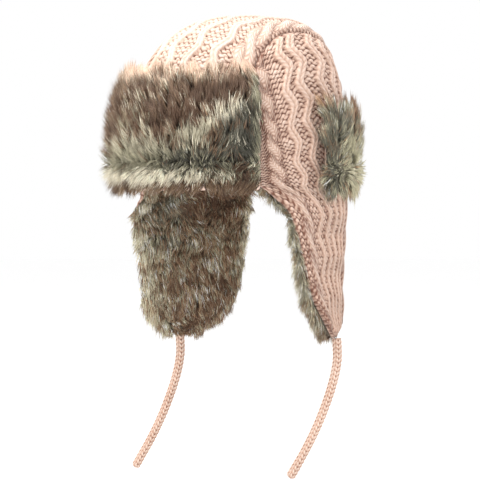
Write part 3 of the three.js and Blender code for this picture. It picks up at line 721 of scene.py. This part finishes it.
# A fur's coat. The size is its fabric's, in metres. Each lock leans aside by about the swing, and its hairs
# gather to its middle. Patches and mixing say how much the dyes vary from place to place and from hair to
# hair. Painted light says how light the hairs are painted: the visor a little darker, and the neck flap and
# the linings, which lie in shade, much lighter. The fringe is the share of the width, at each side, where
# hairs stick out over the edge. The flattest lock stands off by that share of the pile. Where the coat
# hangs, its hairs fall straight down.
VISOR_COAT = {
    "hairs": 30000,
    "size": (0.19, 0.098),
    "locks_across": 36,
    "locks_along": 13,
    "swing": 0.0024,
    "gather": 0.7,
    "thickness": 0.0007,
    "painted_light": 0.89,
    "patches": 0.19,
    "mixing": 0.17,
    "fringe": 0,
    "flattest": 0.7,
    "hangs": False,
    "comb": visor_comb,
    "pile": visor_pile,
    "marks": VISOR_MARKS,
}
NECK_COAT = {
    "hairs": 19000,
    "size": (0.32, 0.075),
    "locks_across": 34,
    "locks_along": 7,
    "swing": 0.004,
    "gather": 1.15,
    "thickness": 0.00085,
    "painted_light": 1.8,
    "patches": 0.3,
    "mixing": 0.14,
    "fringe": 0.03,
    "flattest": 0.3,
    "hangs": False,
    "comb": neck_comb,
    "pile": neck_pile,
    "marks": NECK_MARKS,
}
LINING_COAT = {
    "hairs": 24000,
    "size": (0.08, 0.155),
    "locks_across": 20,
    "locks_along": 30,
    "swing": 0.0018,
    "gather": 0.5,
    "thickness": 0.0007,
    "painted_light": 1.52,
    "patches": 0.15,
    "mixing": 0.22,
    "fringe": 0.06,
    "flattest": 0.7,
    "hangs": True,
    "comb": lining_comb,
    "pile": lining_pile,
    "marks": LINING_MARKS,
}


# The share of each dye at places on a fur, in the order of FUR_DYES.
def dye_shares(u, v, marks):
    names = list(FUR_DYES)
    shares = np.stack([np.full_like(u, FUR_DYES[name]["plain"]) for name in names], -1)
    for mark in marks:
        (mark_u, mark_v), (reach_u, reach_v) = mark["at"], mark["reach"]
        du = (u - mark_u - mark.get("tilt", 0) * (v - mark_v)) / reach_u
        dv = (v - mark_v) / reach_v
        shares[..., names.index(mark["dye"])] += mark["weight"] * np.exp(-(du * du + dv * dv))
    return shares / shares.sum(-1, keepdims=True)


# Smooth random clouds with a given grain over a sheet, at places on it in metres: about -1 to 1.
def cloud(chance, x, y, wide, high, grain):
    columns, rows = math.ceil(wide / grain) + 6, math.ceil(high / grain) + 6
    heights = chance.normal(0, 0.75, (rows, columns))
    x, y = np.clip(x / grain + 3, 0, columns - 1.01), np.clip(y / grain + 3, 0, rows - 1.01)
    i, j = x.astype(int), y.astype(int)
    s, t = smooth(x - i), smooth(y - j)
    near = mix(heights[j, i], heights[j, i + 1], s)
    far = mix(heights[j + 1, i], heights[j + 1, i + 1], s)
    return mix(near, far, t)


# Locks lie in uneven rows. Gives the number of the lock nearest to each hair, and the place of its middle.
def nearest_locks(chance, u, v, across, along):
    lock_u, lock_v = np.meshgrid((np.arange(across) + 0.5) / across, (np.arange(along) + 0.5) / along)
    lock_u = (lock_u + chance.normal(0, 0.3 / across, lock_u.shape)).ravel()
    lock_v = (lock_v + chance.normal(0, 0.3 / along, lock_v.shape)).ravel()
    lock = np.concatenate([
        (((some_u[:, None] - lock_u) * across) ** 2 + ((some_v[:, None] - lock_v) * along) ** 2).argmin(1)
        for some_u, some_v in zip(np.array_split(u, 12), np.array_split(v, 12))
    ])
    return lock, lock_u[lock], lock_v[lock]


# Three-sided hairs, thickest at a bend. Each has five corners: the root, three at the bend, and the tip.
def hair_mesh(root, bend, tip, out, thick):
    line = unit(tip - root)
    side = unit(np.cross(line, out) + 1e-6)
    ring = [bend - side * thick, bend + side * thick, bend + np.cross(side, line) * thick * 0.8]
    corners = np.stack([root, *ring, tip], 1).reshape(-1, 3)
    pattern = [(0, 2, 1), (0, 3, 2), (0, 1, 3), (4, 1, 2), (4, 2, 3), (4, 3, 1)]
    faces = (np.arange(len(root))[:, None, None] * 5 + np.array(pattern)).reshape(-1, 3)
    return corners, facing_out(corners, faces)


# The colours of each hair's five corners, from a root in painted shade to a tip that is often of
# another dye.
def hair_colours(chance, coat, u, v, tip_across, tip_along):
    wide, high = coat["size"]
    x, y = u * wide + tip_across * 0.7, v * high + tip_along * 0.7

    # What each hair draws, from 0 to 1, picks its dye. It varies in clouds and from hair to hair.
    coarse, fine = (cloud(chance, x, y, wide, high, grain) for grain in (0.008, 0.0035))
    draw = 0.5 + coat["patches"] * coarse + 0.2 * fine
    draw = draw + chance.normal(0, coat["mixing"], u.size)
    shine = 0.18 * cloud(chance, x, y, wide, high, 0.005) + chance.normal(0, 0.12, u.size)
    # The tone varies at random, and the whole fur is scaled by its painted light.
    tone = np.exp(shine)[:, None] * coat["painted_light"]

    def dyed(share, shift):
        place_u, place_v = u + tip_across * share / wide, v + tip_along * share / high
        shares = dye_shares(place_u, place_v, coat["marks"]).cumsum(1)
        return DYE_COLOURS[(np.clip(draw + shift, 0, 0.999)[:, None] > shares).sum(1)] * tone

    middle, end = dyed(0.5, 0), dyed(1, chance.normal(0, 0.1, u.size))
    shades = np.stack([middle * ROOT_SHADE, middle, middle, middle, mix(end, middle, 0.45)], 1)
    return np.concatenate([np.clip(shades, 0, 0.88), np.ones((u.size, 5, 1))], 2).reshape(-1, 4)


# The closed base under the hairs, painted as dark as their roots, as painted shade deep in the pile. It
# rises with the pile, but less than any hair.
def fur_base(surface, coat):
    wide, high = coat["size"]
    u, v = np.meshgrid(np.linspace(0.012, 0.988, 57), np.linspace(0.015, 0.985, 29))
    wobble = 0.34 * coat["flattest"] + 0.06 * np.sin(u * 71) * np.sin(v * 37 + u * 11)
    rim = smooth(np.minimum(np.minimum(u, 1 - u) * wide, np.minimum(v, 1 - v) * high) / 0.009)
    outer = surface(u, v, FUR_FABRIC * mix(0.4, 1, rim) + coat["pile"](u, v) * wobble * rim)
    inner = surface(u[::2, ::2], v[::2, ::2], np.zeros_like(u[::2, ::2]))
    corners, faces = closed_wall(outer, inner, 2)
    shares = dye_shares(both_sides(u, 2), both_sides(v, 2), coat["marks"])
    colours = shares @ DYE_COLOURS * ROOT_SHADE * coat["painted_light"]
    return corners, faces, np.concatenate([colours, np.ones((len(corners), 1))], 1)


# Fur grown on a surface: hairs in locks over a closed base.
def grow_fur(name, surface, coat, finish, seed):
    chance = np.random.default_rng(seed)
    hairs, across, along = coat["hairs"], coat["locks_across"], coat["locks_along"]
    wide, high = coat["size"]
    u, v = chance.random(hairs), chance.random(hairs)

    # Some hairs are moved beside the side edges, where they stick out over them.
    fringe = chance.random(hairs) < coat["fringe"] * 3
    u = np.where(fringe, np.minimum(u, 1 - u) * 0.08, u)
    u = np.where(fringe & (chance.random(hairs) < 0.5), 1 - u, u)
    beside = np.minimum(u, 1 - u)
    edge = smooth((coat["fringe"] - beside) / 0.05) if coat["fringe"] else np.zeros(hairs)

    # Each hair lies as its lock does, and a little its own way.
    lock, lock_u, lock_v = nearest_locks(chance, u, v, across, along)
    locks = across * along
    swing = chance.normal(0, coat["swing"], locks)[lock] + chance.normal(0, coat["swing"] * 0.5, hairs)
    length = chance.uniform(0.8, 1.2, locks)[lock] * chance.uniform(0.65, 1.12, hairs)
    stand = coat["pile"](u, v) * chance.uniform(coat["flattest"], 1.0, locks)[lock]
    stand = stand * chance.uniform(0.5, 1.0, hairs)
    gather = coat["gather"] * chance.uniform(0.4, 1, hairs)
    toss, drift = chance.random(hairs), cloud(chance, u * wide, v * high, wide, high, 0.014)
    comb_u, comb_v = coat["comb"](u, v, toss, drift)
    tip_across = comb_u * length + swing + (lock_u - u) * wide * gather
    tip_along = comb_v * length + (lock_v - v) * high * gather * 0.6
    stand = stand * mix(1, chance.uniform(-0.6, 0.9, hairs), edge)
    curl = chance.normal(0, HAIR_CURL, hairs)

    # Where each hair is rooted, and its directions off the surface, across it and along it.
    flat = np.zeros(hairs)
    root = surface(u, v, FUR_FABRIC * mix(1, chance.random(hairs), edge))
    out = unit(surface(u, v, flat + 3 * FUR_FABRIC) - surface(u, v, flat + FUR_FABRIC))
    over = unit(surface(u + 0.01, v, flat) - surface(u - 0.01, v, flat))
    ahead = surface(u, np.minimum(v + 0.01, 1), flat) - surface(u, v - 0.01, flat)
    if coat["hangs"]:
        ahead, over = np.tile([0.0, 0.0, -1.0], (hairs, 1)), unit(over * [1, 1, 0])
    ahead = unit(ahead - over * (ahead * over).sum(1, keepdims=True))

    # A point of each hair, at a share of the way to its tip.
    def place(share, rise, bow):
        sideways = over * (tip_across * share + curl * bow)[:, None]
        return root + sideways + ahead * (tip_along * share)[:, None] + out * (stand * rise)[:, None]

    thick = coat["thickness"] * chance.uniform(0.6, 1.3, hairs)[:, None] / 2
    corners, faces = hair_mesh(root, place(0.38, 0.7, 1), place(1, 1, 0), out, thick)
    colours = hair_colours(chance, coat, u, v, tip_across, tip_along)
    base_corners, base_faces, base_colours = fur_base(surface, coat)
    return make_piece(
        name,
        np.concatenate([corners, base_corners]),
        np.concatenate([faces, base_faces + len(corners)]),
        {"coat": np.concatenate([colours, base_colours])},
        finish,
    )


# A smooth line through a tie's route, with its points in order from the flap tip.
def tie_line(side):
    tip = side_surface(0.5, 1.0, -0.0005)
    start = np.array([side * tip[0], tip[1], tip[2] - 0.001])
    lean = np.array([-math.cos(TIE_LEAN), -math.sin(TIE_LEAN), 0])
    stops = np.array([start + lean * out - np.array([0, 0, down]) for out, down in TIE_ROUTE])
    before = np.concatenate([[2 * stops[0] - stops[1]], stops[:-1]])
    after = np.concatenate([stops[1:], [2 * stops[-1] - stops[-2]]])
    slopes = (after - before) / 2
    line = []
    for k in range(len(stops) - 1):
        for t in np.arange(0, 1, 0.25):
            line.append(curve(stops[k], stops[k + 1], slopes[k], slopes[k + 1], t))
    return np.array(line + [stops[-1]])


# A knitted tie: a tube of stitch columns with a rounded end.
def knitted_tie(name, side, finish):
    line = tie_line(side)
    step = np.linalg.norm(np.diff(line, axis=0), axis=1)
    along = np.concatenate([[0], np.cumsum(step)])
    length, rings, sides, columns = along[-1], 190, 40, 5
    at = np.linspace(0, length, rings)
    middle = np.stack([np.interp(at, along, line[:, k]) for k in range(3)], -1)
    for _ in range(6):
        middle[1:-1] = (middle[:-2] + 2 * middle[1:-1] + middle[2:]) / 4

    # The cord bulges with each stitch column and with the V of each stitch, and its far end is rounded.
    ahead = unit(np.gradient(middle, axis=0))
    right = unit(np.cross(ahead, np.array([math.sin(TIE_LEAN), -math.cos(TIE_LEAN), 0])))
    front = np.cross(right, ahead)
    turn = np.linspace(0, 2 * math.pi, sides, endpoint=False)
    near_end = ((at - (length - 0.0035)) / 0.0036).clip(0, 1)
    end = np.sqrt(np.clip(1 - near_end ** 2, 0.02, 1))
    column = turn / (2 * math.pi) * columns
    leg = np.abs(column - np.floor(column) - 0.5) * 2
    row = at / TIE_STITCH
    v_shape = np.cos(2 * math.pi * (row[:, None] + 0.45 * leg[None, :]))
    lobes = np.sin(math.pi * leg)[None, :]
    radius = end[:, None] * (TIE_RADIUS * 0.9 + 0.0005 * lobes + 0.0003 * v_shape)
    ring = middle[:, None] + radius[..., None] * (
        np.cos(turn)[None, :, None] * right[:, None] + np.sin(turn)[None, :, None] * front[:, None]
    )

    # The tube's faces, and a fan at each end.
    corners = np.concatenate([ring.reshape(-1, 3), middle[:1], middle[-1:]])
    index = np.arange(rings * sides).reshape(rings, sides)
    a, b = index[:-1], np.roll(index, -1, 1)[:-1]
    c, d = np.roll(index, -1, 1)[1:], index[1:]
    faces = [np.stack(t, -1).reshape(-1, 3) for t in ((a, b, c), (a, c, d))]
    first, last = rings * sides, rings * sides + 1
    faces.append(np.stack([np.roll(index[0], -1), index[0], np.full(sides, first)], -1))
    faces.append(np.stack([index[-1], np.roll(index[-1], -1), np.full(sides, last)], -1))
    faces = facing_out(corners, np.concatenate(faces))
    # Painted shade between the cord's stitch columns and in the V of each stitch.
    painted_shading = 0.4 + 0.24 * lobes + 0.22 * v_shape
    knit = points(np.tile(leg / 2 + 0.5, (rings, 1)), row[:, None], 0.7)
    values = {
        "painted_shading": np.concatenate([painted_shading.ravel(), [0.5, 0.5]]),
        "purl": np.tile([0.0, 0.0, 1.0], (len(corners), 1)),
        "knit": np.concatenate([knit.reshape(-1, 3), [[0.5, 0, 0.7], [0.5, row[-1], 0.7]]]),
    }
    piece = make_piece(name, corners, faces, values, finish)
    return piece


# A new material: itself, its nodes and its shader.
def new_finish(name):
    finish = bpy.data.materials.new(name)
    finish.use_nodes = True
    shader = finish.node_tree.nodes["Principled BSDF"]
    return finish, finish.node_tree, shader


# Works out a sum of numbers and sockets by a node.
def calculate(tree, operation, *inputs, clamp=False):
    node = tree.nodes.new("ShaderNodeMath")
    node.operation = operation
    node.use_clamp = clamp
    for k, value in enumerate(inputs):
        if isinstance(value, (int, float)):
            node.inputs[k].default_value = value
        else:
            tree.links.new(value, node.inputs[k])
    return node.outputs[0]


# Blends a first colour into a second one. Each is three numbers or a socket.
def blend_colour(tree, share, first, second):
    node = tree.nodes.new("ShaderNodeMix")
    node.data_type = "RGBA"
    tree.links.new(share, node.inputs["Factor"])
    for socket, value in ((node.inputs[6], first), (node.inputs[7], second)):
        if isinstance(value, tuple):
            socket.default_value = (*value, 1)
        else:
            tree.links.new(value, socket)
    return node.outputs[2]


# Reads the values that make_piece gave to a mesh.
def read_value(tree, name):
    node = tree.nodes.new("ShaderNodeAttribute")
    node.attribute_name = name
    return node


def noise(tree, scale, detail):
    place = tree.nodes.new("ShaderNodeTexCoord")
    node = tree.nodes.new("ShaderNodeTexNoise")
    node.inputs["Scale"].default_value = scale
    node.inputs["Detail"].default_value = detail
    tree.links.new(place.outputs["Object"], node.inputs["Vector"])
    return node.outputs["Fac"]


# How high a purl stitch's loop stands at a place: an arched bump with its middle at a half of each share.
def purl_loop(tree, column, row, arch, reach_across, reach_along):
    x = calculate(tree, "SUBTRACT", calculate(tree, "FRACT", column), 0.5)
    square = calculate(tree, "MULTIPLY", x, x)
    arched = calculate(tree, "MULTIPLY_ADD", square, arch, row)
    y = calculate(tree, "SUBTRACT", calculate(tree, "FRACT", arched), 0.5)
    y = calculate(tree, "DIVIDE", y, reach_along)
    across = calculate(tree, "MULTIPLY", square, -1 / reach_across ** 2)
    left = calculate(tree, "SUBTRACT", across, calculate(tree, "MULTIPLY", y, y))
    return calculate(tree, "SQRT", calculate(tree, "ADD", left, 1, clamp=True))


# How high a knit stitch's V stands at a place: two round legs that slope up from the middle of the column.
def stitch_legs(tree, column, row, contrast):
    off_middle = calculate(tree, "SUBTRACT", calculate(tree, "FRACT", column), 0.5)
    leg = calculate(tree, "MULTIPLY", calculate(tree, "ABSOLUTE", off_middle), 2)
    turn = calculate(tree, "MULTIPLY", calculate(tree, "MULTIPLY_ADD", leg, 0.95, row), 2 * math.pi)
    legs = calculate(tree, "MULTIPLY_ADD", calculate(tree, "COSINE", turn), 0.5, 0.5)
    flank = calculate(tree, "SINE", calculate(tree, "MULTIPLY", leg, math.pi))
    legs = calculate(tree, "MULTIPLY", legs, calculate(tree, "POWER", flank, 0.6))
    return calculate(tree, "MULTIPLY_ADD", legs, contrast, calculate(tree, "SUBTRACT", 1, contrast))


# Chunky yarn: painted light on raised stitches and painted shade between them. Wales show the V of each
# knit stitch, and the ground between them the arched loops of purl stitches.
def yarn_finish(name, colours):
    high, low, gap = (tuple(dye(colours[key])) for key in ("high", "low", "gap"))
    finish, tree, shader = new_finish(name)
    painted_shading = read_value(tree, "painted_shading").outputs["Fac"]
    purl, knit = (tree.nodes.new("ShaderNodeSeparateXYZ") for _ in range(2))
    tree.links.new(read_value(tree, "purl").outputs["Vector"], purl.inputs[0])
    tree.links.new(read_value(tree, "knit").outputs["Vector"], knit.inputs[0])
    column, row, is_wale = purl.outputs
    # Purl loops arch one way and, half a stitch aside, the other way.
    upper_loops = purl_loop(tree, column, row, -0.8, 0.54, 0.34)
    shifted = [calculate(tree, "ADD", value, 0.5) for value in (column, row)]
    lower_loops = calculate(tree, "MULTIPLY", purl_loop(tree, *shifted, 0.8, 0.46, 0.28), 0.85)
    loops = calculate(tree, "MAXIMUM", upper_loops, lower_loops)
    wale = calculate(tree, "MULTIPLY", stitch_legs(tree, *knit.outputs), is_wale)
    ground = calculate(tree, "MULTIPLY", loops, calculate(tree, "SUBTRACT", 1, is_wale))
    stitches = calculate(tree, "ADD", wale, ground)
    fibre, patchy = noise(tree, 1500, 4), noise(tree, 55, 2)
    bump = tree.nodes.new("ShaderNodeBump")
    bump.inputs["Strength"].default_value = 0.8
    bump.inputs["Distance"].default_value = 0.0014
    tree.links.new(calculate(tree, "MULTIPLY_ADD", fibre, 0.22, stitches), bump.inputs["Height"])
    tree.links.new(bump.outputs["Normal"], shader.inputs["Normal"])
    # How lit the yarn is painted: painted shade in the gaps and on the flanks, painted light on the top.
    lit = calculate(tree, "MULTIPLY_ADD", stitches, 0.62, calculate(tree, "SUBTRACT", painted_shading, 0.5))
    lit = calculate(tree, "ADD", lit, calculate(tree, "MULTIPLY_ADD", patchy, 0.35, -0.1))
    lit = calculate(tree, "MULTIPLY_ADD", fibre, 0.3, calculate(tree, "SUBTRACT", lit, 0.15), clamp=True)
    shaded_colour = blend_colour(tree, calculate(tree, "MULTIPLY", lit, 2.2, clamp=True), gap, low)
    upper = calculate(tree, "MULTIPLY_ADD", lit, 1.8, -0.8, clamp=True)
    tree.links.new(blend_colour(tree, upper, shaded_colour, high), shader.inputs["Base Color"])
    shader.inputs["Roughness"].default_value = 0.95
    shader.inputs["Specular IOR Level"].default_value = 0.12
    shader.inputs["Sheen Weight"].default_value = 0.2
    shader.inputs["Sheen Roughness"].default_value = 0.5
    return finish


# Long faux-fur pile: each hair's own colour from root to tip, with a soft gloss.
def fur_finish(name):
    finish, tree, shader = new_finish(name)
    coat = read_value(tree, "coat").outputs["Color"]
    shade = tree.nodes.new("ShaderNodeMix")
    shade.data_type = "RGBA"
    shade.blend_type = "MULTIPLY"
    shade.inputs["Factor"].default_value = 1
    tree.links.new(coat, shade.inputs[6])
    tree.links.new(calculate(tree, "MULTIPLY_ADD", noise(tree, 900, 2), 0.5, 0.78), shade.inputs[7])
    tree.links.new(shade.outputs[2], shader.inputs["Base Color"])
    shader.inputs["Roughness"].default_value = 0.6
    shader.inputs["Specular IOR Level"].default_value = 0.22
    shader.inputs["Sheen Weight"].default_value = 0.05
    return finish


# Nearly white, with a faint grain.
def floor_finish():
    finish, tree, shader = new_finish("studio_floor")
    pale = blend_colour(tree, noise(tree, 8, 2), (0.985, 0.985, 0.985), (1.0, 1.0, 1.0))
    tree.links.new(pale, shader.inputs["Base Color"])
    shader.inputs["Roughness"].default_value = 0.9
    shader.inputs["Specular IOR Level"].default_value = 0.1
    return finish


# A direction out from the hat: degrees round from the brow towards the wearer's left, and degrees up.
def direction(azimuth, elevation):
    a, e = math.radians(azimuth), math.radians(elevation)
    return np.array([math.sin(a) * math.cos(e), -math.cos(a) * math.cos(e), math.sin(e)])


# The camera.
back = direction(VIEW["azimuth"], VIEW["elevation"])
up = direction(VIEW["azimuth"], VIEW["elevation"] + 90)
bpy.ops.object.select_all(action="DESELECT")
bpy.ops.object.camera_add(location=tuple(back * VIEW["distance"] + up * VIEW["middle_z"]))
camera = bpy.context.object
camera.rotation_euler = (math.radians(90 - VIEW["elevation"]), 0, math.radians(VIEW["azimuth"]))
camera.data.lens = VIEW["lens"]
camera.data.sensor_width = 36
camera.data.clip_end = 60
bpy.context.scene.camera = camera

# The ties come first, then the knit and the fur.
cord_yarn = yarn_finish("tie_yarn", CORD_YARN)
tie_left = knitted_tie("knitted_tie_left", 1, cord_yarn)
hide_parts("tie_left")
tie_right = knitted_tie("knitted_tie_right", -1, cord_yarn)
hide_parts("tie_right")

yarn = yarn_finish("cable_knit_yarn", PANEL_YARN)
strip = knit_panel("knit_crown_strip", strip_surface, STRIP_PANEL, yarn)
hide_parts("crown_strip")
for side, surface in (("left", side_surface), ("right", mirrored(side_surface))):
    panel = knit_panel(f"knit_side_panel_{side}", surface, SIDE_PANEL, yarn)
    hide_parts(f"side_panel_{side}")

visor_back = turn_up_backing("visor_knit_backing", VISOR, visor_tuck, yarn)
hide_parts("visor_backing")
neck_back = turn_up_backing("neck_flap_knit_backing", NECK_FLAP, neck_tuck, yarn)
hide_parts("neck_flap_backing")

fur = fur_finish("mottled_faux_fur")
visor_fur = grow_fur("visor_long_fur", turn_up_surface(VISOR), VISOR_COAT, fur, 11)
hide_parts("visor_fur")
neck_fur = grow_fur("neck_flap_long_fur", turn_up_surface(NECK_FLAP), NECK_COAT, fur, 23)
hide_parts("neck_flap_fur")
for side, surface, seed in (("left", lining_surface, 31), ("right", mirrored(lining_surface), 37)):
    lining = grow_fur(f"ear_lining_long_fur_{side}", surface, LINING_COAT, fur, seed)
    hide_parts(f"ear_lining_{side}")

# The floor.
bpy.ops.object.select_all(action="DESELECT")
bpy.ops.mesh.primitive_circle_add(vertices=96, radius=14, fill_type="NGON", location=(0, 0, FLOOR_Z))
floor = bpy.context.object
floor.name = "pale_floor"
bpy.ops.object.transform_apply(location=True, rotation=True, scale=True)
floor.data.materials.append(floor_finish())

# Soft studio light: a broad key from the left of the camera, a lamp above, and a weak fill from the right.
world = bpy.data.worlds.new("studio")
bpy.context.scene.world = world
world.use_nodes = True
world.node_tree.nodes["Background"].inputs["Color"].default_value = (1, 1, 1, 1)
world.node_tree.nodes["Background"].inputs["Strength"].default_value = 1
bpy.context.scene.view_settings.view_transform = "Standard"


def soft_light(name, azimuth, elevation, distance, size, power, tint):
    bpy.ops.object.select_all(action="DESELECT")
    bpy.ops.object.light_add(type="AREA", location=tuple(direction(azimuth, elevation) * distance))
    lamp = bpy.context.object
    lamp.name = name
    lamp.data.size = size
    lamp.data.energy = power
    lamp.data.color = tint
    lamp.rotation_euler = (math.radians(90 - elevation), 0, math.radians(azimuth))


soft_light("key_light", -15, 48, 2.2, 1.4, 42, (1, 0.985, 0.96))
soft_light("fill_light", 110, 25, 2.6, 1.6, 2, (0.97, 0.98, 1))
soft_light("top_light", 20, 80, 2.2, 1.2, 34, (1, 1, 1))
